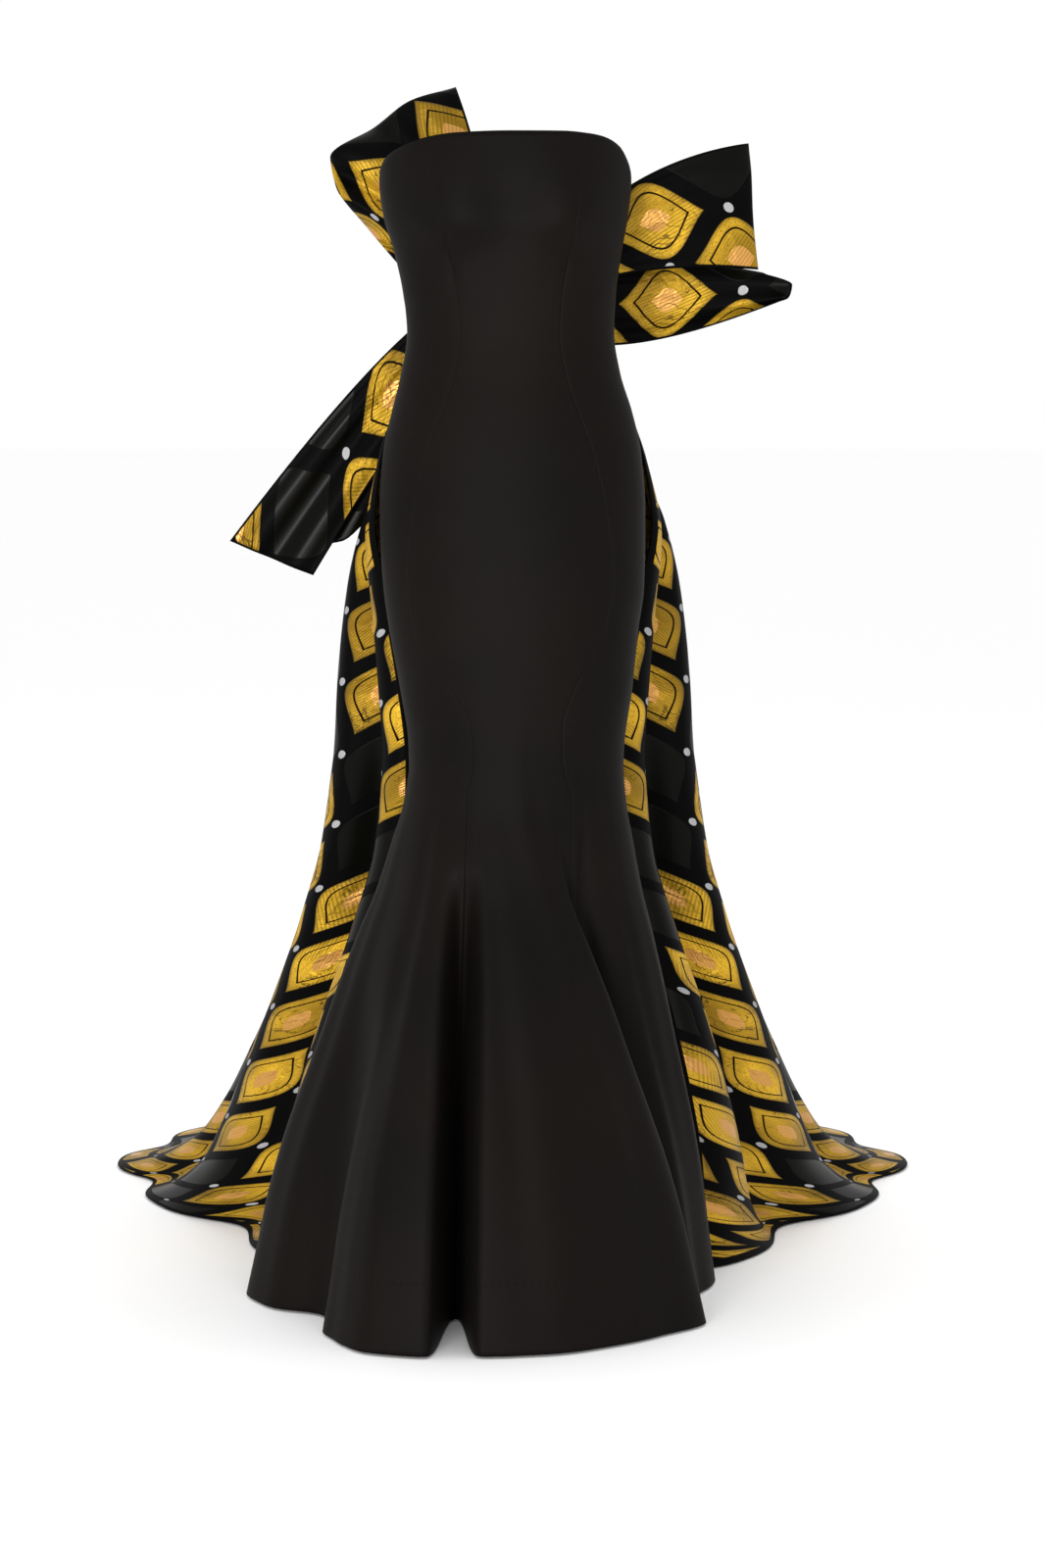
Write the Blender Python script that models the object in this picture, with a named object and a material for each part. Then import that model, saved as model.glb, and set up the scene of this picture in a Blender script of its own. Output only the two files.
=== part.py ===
"""A strapless trumpet gown with a brocade bow and train at the back, in the shape that it has when it is worn.

The gown is a tube of seven long panels, fitted to the knee and flared in deep folds below it. The train is an open
overskirt of four gores that hangs from the back waist and spreads over the floor. The bow sits on the train's top seam.
Every piece is a thin cloth wall with real thickness. Units are metres, +Z is up and the front faces -Y.
Tables give heights above the floor. The origin is the centre of the waist, where the wearer holds the gown up.
"""

import math

import bmesh
import bpy
import numpy as np

WAIST_HEIGHT = 1.12
CREPE = 0.0018
BROCADE = 0.0015
SEAM_GAP = 0.0003
ON_PANEL = 0.0010
HEM_CLEARANCE = 0.003

CREPE_COLOUR = (0.016, 0.014, 0.013)
BROCADE_COLOUR = (0.42, 0.27, 0.03)


# Tables and smooth curves through them

def column(table, names, name):
    """One named column of a table, as an array."""
    return np.array([row[names.index(name)] for row in table], float)


def smooth(at, places, values):
    """A curve through the values with no overshoot, read at the given places."""
    at = np.clip(np.asarray(at, float), min(places[0], places[-1]), max(places[0], places[-1]))
    if places[0] > places[-1]:
        places, values = places[::-1], values[::-1]
    step = np.diff(places)
    slope = np.diff(values) / step
    tangent = np.zeros(len(places))
    tangent[0], tangent[-1] = slope[0], slope[-1]
    same_way = slope[:-1] * slope[1:] > 0
    mean = 2 * slope[:-1] * slope[1:] / np.where(same_way, slope[:-1] + slope[1:], 1)
    tangent[1:-1] = np.where(same_way, mean, 0)
    left = np.clip(np.searchsorted(places, at, side="right") - 1, 0, len(step) - 1)
    part = (at - places[left]) / step[left]
    rise = part * part * (3 - 2 * part)
    start_pull = part * (1 - part) ** 2 * step[left] * tangent[left]
    end_pull = part * part * (1 - part) * step[left] * tangent[left + 1]
    return values[left] * (1 - rise) + values[left + 1] * rise + start_pull - end_pull


def unit(vectors):
    """The same vectors, one long."""
    return vectors / np.maximum(np.linalg.norm(vectors, axis=-1, keepdims=True), 1e-9)


# The gown's fitted part: how far it reaches from the waist's axis to each side, at each height

SECTION_COLUMNS = ("height", "left", "right", "front", "back")
SECTIONS = (
    (1.350, 0.146, 0.136, 0.100, 0.096),
    (1.290, 0.149, 0.137, 0.104, 0.100),
    (1.255, 0.145, 0.134, 0.104, 0.101),
    (1.210, 0.132, 0.126, 0.096, 0.097),
    (1.165, 0.1225, 0.120, 0.089, 0.089),
    (1.120, 0.118, 0.118, 0.084, 0.080),
    (1.075, 0.125, 0.125, 0.088, 0.086),
    (1.030, 0.136, 0.139, 0.096, 0.100),
    (0.985, 0.146, 0.149, 0.102, 0.114),
    (0.920, 0.150, 0.154, 0.107, 0.124),
    (0.875, 0.149, 0.154, 0.108, 0.124),
    (0.830, 0.146, 0.153, 0.107, 0.118),
    (0.785, 0.140, 0.147, 0.105, 0.110),
    (0.715, 0.1275, 0.140, 0.100, 0.100),
    (0.650, 0.118, 0.131, 0.095, 0.093),
    (0.600, 0.117, 0.129, 0.093, 0.092),
)
KNEE_HEIGHT = 0.62

# Soft boned cups: how far they stand out of the front, and where
CUP_DEPTH = 0.019
CUP_HEIGHT = 1.248
CUP_FROM_CENTRE = 0.068
CUP_WIDTH = 0.046
CUP_DROP = 0.036
CUP_RISE = 0.075

NECKLINE_COLUMNS = ("angle", "height")
NECKLINE = (
    (-180, 1.243), (-130, 1.254), (-90, 1.296), (-75, 1.313), (-63, 1.323), (-50, 1.331), (-39, 1.337), (-25, 1.341),
    (0, 1.343), (25, 1.343), (40, 1.341), (50, 1.338), (63, 1.329), (75, 1.313), (90, 1.293), (130, 1.254), (180, 1.243),
)
NECKLINE_TOP = 1.343
NECKLINE_STARTS = 1.16

# Seams: the angle from the centre front at each height, and where each ends round the hem
SEAM_HEIGHTS = (1.350, 1.250, 1.120, 0.950, 0.840, 0.780, 0.720, 0.680, 0.640, 0.600)
SEAM_COLUMNS = ("neck", "bust", "waist", "hip", "thigh", "low_thigh", "above_knee", "knee", "below_knee", "flare", "hem")
SEAMS = {
    "back_left": (-180, -180, -180, -180, -180, -180, -180, -180, -180, -180, -180),
    "side_back_left": (-140, -140, -142, -138, -138, -138, -138, -139, -140, -140, -146),
    "side_left": (-92, -92, -90, -90, -90, -90, -90, -90, -90, -90, -94),
    "princess_left": (-37, -34, -28, -44, -53, -51, -32, -22, -21, -25, -5.5),
    "princess_right": (37, 34, 28, 42, 50, 46, 31, 26, 27, 31, 75),
    "side_right": (92, 92, 90, 90, 90, 90, 90, 90, 90, 90, 108),
    "side_back_right": (140, 140, 142, 138, 138, 138, 138, 139, 140, 140, 146),
    "back_right": (180, 180, 180, 180, 180, 180, 180, 180, 180, 180, 180),
}

# The flare: how far the hem reaches from the middle of the skirt, and how much of that it has at each height
HEM_CENTRE = np.array([-0.035, 0.0])
HEM_COLUMNS = ("angle", "reach")
HEM = (
    (-180, 0.305), (-160, 0.300), (-145, 0.270), (-122, 0.232), (-106, 0.258), (-92, 0.276),
    (-78, 0.258), (-64, 0.238), (-40, 0.264), (-32, 0.285), (-24, 0.301), (-12, 0.300), (-5, 0.294), (3, 0.292),
    (17, 0.292), (32, 0.286), (46, 0.284), (60.5, 0.295), (70, 0.263), (80, 0.250), (90, 0.256), (97, 0.272),
    (108, 0.290), (124, 0.262), (138, 0.258), (155, 0.290), (180, 0.305),
)
FLARE_COLUMNS = ("height", "share")
FLARE = (
    (0.620, 0.000), (0.580, 0.035), (0.540, 0.100), (0.480, 0.200), (0.430, 0.310), (0.370, 0.430),
    (0.305, 0.550), (0.240, 0.675), (0.190, 0.765), (0.125, 0.860), (0.070, 0.920), (0.000, 1.000),
)
# Deep folds of the flare: the knee angle each starts from, the way it goes in, its depth and half its width at the
# hem, and the height where it starts
FOLD_COLUMNS = ("angle", "heading", "depth", "half_width", "starts")
FOLDS = (
    (-25, 0, 0.170, 0.0160, 0.520),
    (-62, 62, 0.030, 0.0450, 0.400),
    (31, -84, 0.105, 0.0260, 0.590),
    (-122, 118, 0.060, 0.0260, 0.480),
    (122, -118, 0.060, 0.0260, 0.480),
    (-163, 163, 0.085, 0.0230, 0.520),
    (163, -163, 0.085, 0.0230, 0.520),
)
FOLD_WALL = 2.6


def knee_to_hem_angle(angle):
    """The angle round the hem that a line of cloth at this knee angle falls to, in degrees."""
    knee = np.array([row[SEAM_COLUMNS.index("flare")] for row in SEAMS.values()], float)
    hem = np.array([row[SEAM_COLUMNS.index("hem")] for row in SEAMS.values()], float)
    return smooth(angle, knee, hem)


def fitted_ring(angle, height):
    """A point of the fitted part's section, from the angle to the centre front in degrees: x and y."""
    turn = np.radians(angle)
    reach = {name: smooth(height, column(SECTIONS, SECTION_COLUMNS, "height"),
                          column(SECTIONS, SECTION_COLUMNS, name)) for name in SECTION_COLUMNS[1:]}
    across, ahead = np.sin(turn), np.cos(turn)
    x = across * np.where(across > 0, reach["right"], reach["left"])
    y = -ahead * np.where(ahead > 0, reach["front"], reach["back"])
    drop = np.where(height < CUP_HEIGHT, CUP_DROP, CUP_RISE)
    cups = sum(np.exp(-((x - side * CUP_FROM_CENTRE) / CUP_WIDTH) ** 2) for side in (-1, 1))
    y = y - CUP_DEPTH * cups * np.exp(-((height - CUP_HEIGHT) / drop) ** 2) * np.clip(ahead, 0, 1) ** 0.5
    return np.stack([x, y], axis=-1)


def unfolded_skirt(angle, height):
    """The skirt's section before its folds: the fitted ring, let out towards the hem's outline."""
    ring = fitted_ring(angle, np.maximum(height, KNEE_HEIGHT))
    turn = np.radians(knee_to_hem_angle(angle))
    reach = smooth(np.degrees(turn), column(HEM, HEM_COLUMNS, "angle"), column(HEM, HEM_COLUMNS, "reach"))
    hem = HEM_CENTRE + reach[..., None] * np.stack([np.sin(turn), -np.cos(turn)], axis=-1)
    share = smooth(height, column(FLARE, FLARE_COLUMNS, "height"), column(FLARE, FLARE_COLUMNS, "share"))
    share = np.where(height < KNEE_HEIGHT, share, 0)
    return ring + share[..., None] * (hem - fitted_ring(angle, np.full_like(height, KNEE_HEIGHT)))


def gown_point(angle, height):
    """A point of the gown's outer face, for arrays of angles in degrees and heights above the floor."""
    base = unfolded_skirt(angle, height)
    plan = base.copy()
    for fold_angle, heading, depth, half_width, starts in FOLDS:
        crease = unfolded_skirt(np.full_like(height, fold_angle), height)
        away = np.linalg.norm(base - crease, axis=-1)
        grown = np.clip(1 - (height / starts) ** 2, 0, 1) ** 1.2
        pull = depth * grown * np.exp(-((away / half_width) ** FOLD_WALL))
        way_in = np.array([math.sin(math.radians(heading)), math.cos(math.radians(heading))])
        plan = plan + pull[..., None] * way_in
    return np.concatenate([plan, (height - WAIST_HEIGHT)[..., None]], axis=-1)


def seam_angle(name, height):
    """The angle of a seam at each height, in degrees."""
    return smooth(height, np.array(SEAM_HEIGHTS), np.array(SEAMS[name][:len(SEAM_HEIGHTS)], float))


def neckline(angle):
    """The height of the top edge at an angle from the centre front."""
    return smooth(angle, column(NECKLINE, NECKLINE_COLUMNS, "angle"), column(NECKLINE, NECKLINE_COLUMNS, "height"))


def trimmed(angle, height):
    """The height again, lowered near the top so that the last row follows the neckline."""
    share = np.clip((height - NECKLINE_STARTS) / (NECKLINE_TOP - NECKLINE_STARTS), 0, 1)
    return np.where(share > 0, NECKLINE_STARTS + share * (neckline(angle) - NECKLINE_STARTS), height)


# Cloth walls

def directions(points, axis, closed=False):
    """Unit directions along a grid of points, each halfway between those of the two cells beside it."""
    cells = unit(np.diff(points, axis=axis))
    first, last = np.take(cells, [0], axis=axis), np.take(cells, [-1], axis=axis)
    before = np.concatenate([last if closed else first, cells], axis=axis)
    after = np.concatenate([cells, first if closed else last], axis=axis)
    return unit(before + after), np.linalg.norm(before + after, axis=-1) / 2


def thickness_vectors(points, thickness, closed=False):
    """Vectors through the cloth at each point of a grid, longer at creases so that the wall keeps its thickness."""
    along, bend = directions(points, 1, closed)
    across, _ = directions(points, 0)
    return unit(np.cross(along, across)) * (thickness / np.clip(bend, 0.6, 1))[..., None], along


def wall(name, outer, inner, colour):
    """One closed cloth wall between two grids of points of the same shape."""
    rows, columns = outer.shape[:2]
    mesh = bmesh.new()
    sheets = [[[mesh.verts.new(point) for point in row] for row in sheet] for sheet in (outer, inner)]
    falling = np.linalg.norm(outer[1:, 1:] - outer[:-1, :-1], axis=-1)
    rising = np.linalg.norm(outer[1:, :-1] - outer[:-1, 1:], axis=-1)
    for sheet in sheets:
        for i in range(rows - 1):
            for j in range(columns - 1):
                a, b, c, d = sheet[i][j], sheet[i][j + 1], sheet[i + 1][j + 1], sheet[i + 1][j]
                halves = ((a, b, c), (a, c, d)) if falling[i, j] < rising[i, j] else ((a, b, d), (b, c, d))
                for half in halves:
                    mesh.faces.new(half)
    edges = [((i, j), (i + 1, j)) for j in (0, columns - 1) for i in range(rows - 1)]
    edges += [((i, j), (i, j + 1)) for i in (0, rows - 1) for j in range(columns - 1)]
    for (i, j), (k, m) in edges:
        mesh.faces.new((sheets[0][i][j], sheets[1][k][m], sheets[0][k][m]))
        mesh.faces.new((sheets[0][i][j], sheets[1][i][j], sheets[1][k][m]))
    bmesh.ops.recalc_face_normals(mesh, faces=mesh.faces)
    made = bpy.data.meshes.new(name)
    mesh.to_mesh(made)
    mesh.free()
    made.shade_smooth()
    made.materials.append(material(colour))
    piece = bpy.data.objects.new(name, made)
    cloth.objects.link(piece)
    return piece


def material(colour):
    """A plain cloth finish of one colour, made once for each colour."""
    name = "crepe" if colour is CREPE_COLOUR else "brocade"
    made = bpy.data.materials.get(name) or bpy.data.materials.new(name)
    made.use_nodes = True
    shader = made.node_tree.nodes["Principled BSDF"]
    shader.inputs["Base Color"].default_value = (*colour, 1)
    shader.inputs["Roughness"].default_value = 0.7 if name == "crepe" else 0.45
    shader.inputs["Metallic"].default_value = 0.0 if name == "crepe" else 0.4
    return made


# The gown's panels: the seams on both sides, and the number of lines of points across

PANELS = {
    "gown_centre_back_left": ("back_left", "side_back_left", 7),
    "gown_side_back_left": ("side_back_left", "side_left", 6),
    "gown_side_front_left": ("side_left", "princess_left", 11),
    "gown_centre_front": ("princess_left", "princess_right", 18),
    "gown_side_front_right": ("princess_right", "side_right", 9),
    "gown_side_back_right": ("side_right", "side_back_right", 6),
    "gown_centre_back_right": ("side_back_right", "back_right", 7),
}
PANEL_ROWS = (
    1.343, 1.300, 1.262, 1.235, 1.195, 1.158, 1.120, 1.078, 1.030, 0.960,
    0.880, 0.800, 0.715, 0.630, 0.545, 0.460, 0.365, 0.260, 0.135, HEM_CLEARANCE,
)


def panel_shares(left, right, count):
    """Where a panel's lines of points lie across it, closer together where the hem turns into a fold."""
    fine = np.linspace(0, 1, 600)
    level = np.full_like(fine, 0.16)
    angle = seam_angle(left, level) * (1 - fine) + seam_angle(right, level) * fine
    points = gown_point(angle, level)
    length = np.concatenate([[0], np.cumsum(np.linalg.norm(np.diff(points, axis=0), axis=1))])
    spread = 0.85 * length / length[-1] + 0.15 * fine
    return np.interp(np.linspace(0, 1, count), spread, fine)


def gown_panels():
    """All panels of the gown, cut at the seams from one closed ring of points."""
    rows = np.array(PANEL_ROWS)[:, None]
    angles = []
    starts = []
    for left, right, count in PANELS.values():
        starts.append(sum(part.shape[1] for part in angles))
        start, end = seam_angle(left, rows), seam_angle(right, rows)
        angles.append((start + (end - start) * panel_shares(left, right, count))[:, :-1])
    angle = np.concatenate(angles + [np.full_like(rows, 180)], axis=1)
    outer = gown_point(angle, trimmed(angle, rows + 0 * angle))
    through, along = thickness_vectors(outer, CREPE, closed=True)
    inner = outer + through
    inner[-1, :, 2] = outer[-1, :, 2]
    for name, start in zip(PANELS, starts):
        cut = slice(start, start + PANELS[name][2])
        shift = np.zeros_like(outer[:, cut])
        shift[:, 0] = 0.5 * SEAM_GAP * along[:, cut][:, 0]
        shift[:, -1] = -0.5 * SEAM_GAP * along[:, cut][:, -1]
        wall(name, outer[:, cut] + shift, inner[:, cut] + shift, CREPE_COLOUR)


# The train: an open overskirt. Each row is a level down the cloth. It gives the height, the widest point, the middle of
# the back, the front edge, and how deep the folds are there

TRAIN_COLUMNS = ("height", "side_x", "side_y", "back_y", "edge_x", "edge_y", "fold", "free", "right_extra")
TRAIN = (
    (1.116, 0.116, 0.030, 0.084, 0.117, 0.020, 0.0000, 0.00, 0.000),
    (1.078, 0.124, 0.035, 0.092, 0.125, 0.022, 0.0008, 0.00, 0.000),
    (1.030, 0.139, 0.040, 0.108, 0.139, 0.024, 0.0018, 0.15, 0.000),
    (0.975, 0.153, 0.070, 0.142, 0.150, 0.030, 0.0038, 0.60, 0.004),
    (0.900, 0.170, 0.115, 0.178, 0.155, 0.050, 0.0070, 1.00, 0.006),
    (0.810, 0.189, 0.175, 0.230, 0.138, 0.078, 0.0120, 1.00, 0.006),
    (0.710, 0.204, 0.220, 0.288, 0.122, 0.105, 0.0165, 1.00, 0.006),
    (0.610, 0.215, 0.255, 0.342, 0.112, 0.120, 0.0200, 1.00, 0.006),
    (0.510, 0.228, 0.290, 0.405, 0.118, 0.138, 0.0240, 1.00, 0.006),
    (0.410, 0.250, 0.325, 0.485, 0.142, 0.148, 0.0280, 1.00, 0.006),
    (0.310, 0.284, 0.375, 0.580, 0.172, 0.150, 0.0310, 1.00, 0.006),
    (0.215, 0.324, 0.430, 0.690, 0.196, 0.146, 0.0320, 1.00, 0.004),
    (0.130, 0.364, 0.495, 0.810, 0.212, 0.142, 0.0310, 1.00, 0.002),
    (0.065, 0.408, 0.570, 0.930, 0.218, 0.138, 0.0290, 1.00, 0.000),
    (0.022, 0.472, 0.660, 1.050, 0.221, 0.135, 0.0260, 1.00, 0.000),
    (0.002, 0.525, 0.750, 1.150, 0.223, 0.132, 0.0230, 1.00, 0.000),
)
TRAIN_SWEEP = 73
SIDE_BEND = 1.5
# Folds of one half of the train, from the middle of the back to the front edge: where each crest lies along the
# section, and how deep it is beside the others
TRAIN_FOLD_COLUMNS = ("place", "depth")
TRAIN_FOLDS = ((0.000, 0.80), (0.170, 1.00), (0.340, 0.85), (0.510, 0.60), (0.690, 0.85), (0.945, 1.20))
LAST_FOLD = 5.25
POINTS_PER_FOLD = 6
SECTION_SAMPLES = 400
# Each gore's edges, as numbers of folds from the middle of the back
GORES = {
    "train_side_left": (-LAST_FOLD, -2.5),
    "train_back_left": (-2.5, 0.0),
    "train_back_right": (0.0, 2.5),
    "train_side_right": (2.5, LAST_FOLD),
}


def train_section(level):
    """The section's right half at a level, as a line of points from the middle of the back to the front edge."""
    size = dict(zip(TRAIN_COLUMNS, TRAIN[level]))
    quarter = np.linspace(0, math.pi / 2, SECTION_SAMPLES // 2)
    back = np.stack([size["side_x"] * np.sin(quarter),
                     size["side_y"] + (size["back_y"] - size["side_y"]) * np.cos(quarter)], axis=-1)
    ahead = np.linspace(0, 1, SECTION_SAMPLES // 2)[1:]
    side = np.stack([size["side_x"] - (size["side_x"] - size["edge_x"]) * ahead ** SIDE_BEND,
                     size["side_y"] - (size["side_y"] - size["edge_y"]) * ahead], axis=-1)
    line = np.concatenate([back, side])
    length = np.concatenate([[0], np.cumsum(np.linalg.norm(np.diff(line, axis=0), axis=1))])
    return line, length / length[-1], size


def seat_point(angle, height):
    """The gown's face as its panels have it, straight between their rows: x and y."""
    upper = min(row for row in PANEL_ROWS if row >= height)
    lower = max(row for row in PANEL_ROWS if row < height)
    top, bottom = (gown_point(angle, np.full_like(angle, row))[:, :2] for row in (upper, lower))
    return bottom + (top - bottom) * (height - lower) / (upper - lower)


def train_row(folds, level):
    """One level of the train's inner face. Folds counts them from the middle of the back, less than 0 to the left."""
    line, share, size = train_section(level)
    side = np.where(folds < 0, -1.0, 1.0)
    crests = column(TRAIN_FOLDS, TRAIN_FOLD_COLUMNS, "place")
    at = np.interp(np.abs(folds), np.append(np.arange(len(crests)), LAST_FOLD), np.append(crests, 1.0))
    loose = np.stack([np.interp(at, share, line[:, k]) for k in (0, 1)], axis=-1)
    ahead = np.stack([np.interp(at + 0.004, share, line[:, k]) for k in (0, 1)], axis=-1)
    behind = np.stack([np.interp(at - 0.004, share, line[:, k]) for k in (0, 1)], axis=-1)
    along = unit(ahead - behind)
    out = np.stack([-along[:, 1], along[:, 0]], axis=-1)
    depth = np.interp(at, crests, column(TRAIN_FOLDS, TRAIN_FOLD_COLUMNS, "depth")) * size["fold"]
    wave = depth * np.cos(2 * np.pi * folds)
    loose = loose + out * wave[:, None]
    loose[:, 0] = side * loose[:, 0] + size["right_extra"] * np.clip(2 * at, 0, 1) * (side > 0)
    if size["free"] < 1:
        seat = seat_point(side * (180 - TRAIN_SWEEP * at), size["height"])
        seated = seat + (ON_PANEL + depth + wave)[:, None] * unit(seat)
        loose = seated + size["free"] * (loose - seated)
    return np.concatenate([loose, np.full((len(loose), 1), size["height"] - WAIST_HEIGHT)], axis=-1)


def train_gores():
    """All gores of the train, cut at the seams from one open strip of points."""
    folds = []
    starts = []
    for start, end in GORES.values():
        starts.append(len(folds))
        count = round((end - start) * POINTS_PER_FOLD)
        folds += list(start + (end - start) * np.arange(count) / count)
    folds = np.array(folds + [LAST_FOLD])
    inner = np.stack([train_row(folds, level) for level in range(len(TRAIN))])
    through, along = thickness_vectors(inner, BROCADE)
    outer = inner + through
    inner[:, :, 2] = np.maximum(inner[:, :, 2], -WAIST_HEIGHT)
    outer[:, :, 2] = np.maximum(outer[:, :, 2], 0.0003 - WAIST_HEIGHT)
    for (name, (start, end)), first in zip(GORES.items(), starts):
        cut = slice(first, first + round((end - start) * POINTS_PER_FOLD) + 1)
        shift = np.zeros_like(inner[:, cut])
        if start > -LAST_FOLD:
            shift[:, 0] = 0.5 * SEAM_GAP * along[:, cut][:, 0]
        if end < LAST_FOLD:
            shift[:, -1] = -0.5 * SEAM_GAP * along[:, cut][:, -1]
        wall(name, outer[:, cut] + shift, inner[:, cut] + shift, BROCADE_COLOUR)


# The bow. Each piece is a fan of cloth from the knot. A row is one line of the fan, from its root in the knot past a
# point halfway to its end: distance to the right, height above the floor, and distance behind the waist's axis

KNOT_CENTRE = (0.004, 0.1101, 1.153)
KNOT_HALF = (0.024, 0.0170, 0.0460)
KNOT_WALL = 0.0022
FAN_COLUMNS = ("root_x", "root_y", "root_z", "half_x", "half_y", "half_z", "end_x", "end_y", "end_z")
LOOP_RIGHT = (
    (0.021, 0.1056, 1.172, 0.130, 0.124, 1.286, 0.277, 0.136, 1.341),
    (0.021, 0.1056, 1.159, 0.130, 0.125, 1.255, 0.281, 0.142, 1.300),
    (0.021, 0.1056, 1.146, 0.130, 0.126, 1.220, 0.284, 0.146, 1.245),
    (0.021, 0.1056, 1.134, 0.130, 0.127, 1.188, 0.290, 0.148, 1.195),
)
WING_RIGHT = (
    (0.021, 0.1188, 1.164, 0.135, 0.174, 1.205, 0.298, 0.184, 1.192),
    (0.021, 0.1188, 1.155, 0.138, 0.175, 1.178, 0.333, 0.188, 1.178),
    (0.021, 0.1188, 1.146, 0.134, 0.175, 1.142, 0.330, 0.188, 1.164),
    (0.021, 0.1188, 1.138, 0.128, 0.172, 1.107, 0.316, 0.186, 1.158),
)
LOOP_LEFT = (
    (-0.0208, 0.1039, 1.178, -0.032, 0.124, 1.292, -0.064, 0.124, 1.405),
    (-0.0208, 0.1039, 1.170, -0.060, 0.126, 1.286, -0.118, 0.128, 1.388),
    (-0.0208, 0.1039, 1.161, -0.082, 0.128, 1.276, -0.162, 0.132, 1.357),
    (-0.0208, 0.1039, 1.152, -0.104, 0.128, 1.252, -0.210, 0.126, 1.324),
    (-0.0208, 0.1039, 1.144, -0.106, 0.128, 1.230, -0.203, 0.120, 1.290),
    (-0.0208, 0.1039, 1.136, -0.096, 0.128, 1.204, -0.168, 0.120, 1.244),
    (-0.0208, 0.1039, 1.128, -0.080, 0.126, 1.166, -0.132, 0.116, 1.202),
)
TAIL_LEFT = (
    (-0.0130, 0.1108, 1.168, -0.128, 0.162, 1.116, -0.335, 0.172, 0.875),
    (-0.0130, 0.1108, 1.157, -0.122, 0.164, 1.090, -0.302, 0.176, 0.861),
    (-0.0130, 0.1108, 1.146, -0.114, 0.164, 1.062, -0.269, 0.176, 0.847),
    (-0.0130, 0.1108, 1.136, -0.104, 0.162, 1.036, -0.236, 0.172, 0.834),
)
TAIL_UNDER = (
    (-0.0130, 0.1146, 1.161, -0.110, 0.178, 1.050, -0.226, 0.192, 0.870),
    (-0.0130, 0.1146, 1.152, -0.102, 0.179, 1.034, -0.202, 0.194, 0.874),
    (-0.0130, 0.1146, 1.143, -0.090, 0.178, 1.020, -0.166, 0.192, 0.905),
)
# How the fans are gathered: number of pleats across, their depth at the root and end, the loop's half opening, and
# the number of points round it and across it
GATHER_COLUMNS = ("pleats", "root_depth", "end_depth", "opening", "points_round", "points_across")
GATHERS = {
    "bow_loop_right": (LOOP_RIGHT, (2.0, 0.0010, 0.0030, 0.022, 13, 9)),
    "bow_loop_left": (LOOP_LEFT, (3.5, 0.0010, 0.0090, 0.018, 11, 15)),
    "bow_wing_right": (WING_RIGHT, (1.5, 0.0008, 0.0040, 0.000, 6, 7)),
    "bow_tail_left": (TAIL_LEFT, (2.0, 0.0008, 0.0040, 0.000, 7, 9)),
    "bow_tail_under": (TAIL_UNDER, (1.0, 0.0008, 0.0030, 0.000, 6, 5)),
}
ROOT_OPENING = 0.0090


def fan_line(table, across, reach):
    """Points of a fan: across from its first row to its last, and out from the root, 0, to the end, 1."""
    places = np.linspace(0, 1, len(table))
    root, half, end = (
        np.stack([smooth(across, places, column(table, FAN_COLUMNS, f"{part}_{axis}")) for axis in "xyz"], axis=-1)
        for part in ("root", "half", "end"))
    out = reach[..., None]
    return root * (1 - out) * (1 - 2 * out) + half * 4 * out * (1 - out) + end * out * (2 * out - 1)


def fan_point(table, gather, across, travel):
    """A fan's middle surface. Travel runs from -1 to 1 round a loop, or from 0 to 1 out along a single layer."""
    pleats, root_depth, end_depth, opening = gather[:4]
    if opening:
        away = np.abs(travel)
        reach = 1 - away ** 1.6
        puff = np.sign(travel) * (opening * 4 * away * (1 - away) + ROOT_OPENING * away ** 2)
    else:
        reach, puff = travel, np.zeros_like(travel)
    point = fan_line(table, across, reach)
    depth = root_depth + (end_depth - root_depth) * reach
    wave = depth * np.cos(2 * np.pi * pleats * across)
    point[..., 1] += puff + wave
    point[..., 2] -= WAIST_HEIGHT
    return point


def fan_piece(name):
    """One loop, wing or tail of the bow, as a wall of even thickness about its middle surface."""
    table, gather = GATHERS[name]
    opening, rows, columns = gather[3:]
    travel = np.linspace(-1 if opening else 0, 1, rows)
    travel, across = np.meshgrid(travel, np.linspace(0, 1, columns), indexing="ij")
    middle = fan_point(table, gather, across, travel)
    through, _ = thickness_vectors(middle.swapaxes(0, 1), BROCADE)
    through = through.swapaxes(0, 1)
    return wall(name, middle - 0.5 * through, middle + 0.5 * through, BROCADE_COLOUR)


KNOT_POINTS = (7, 18)
KNOT_PLEATS = 3
KNOT_PLEAT_DEPTH = 0.0010


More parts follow.
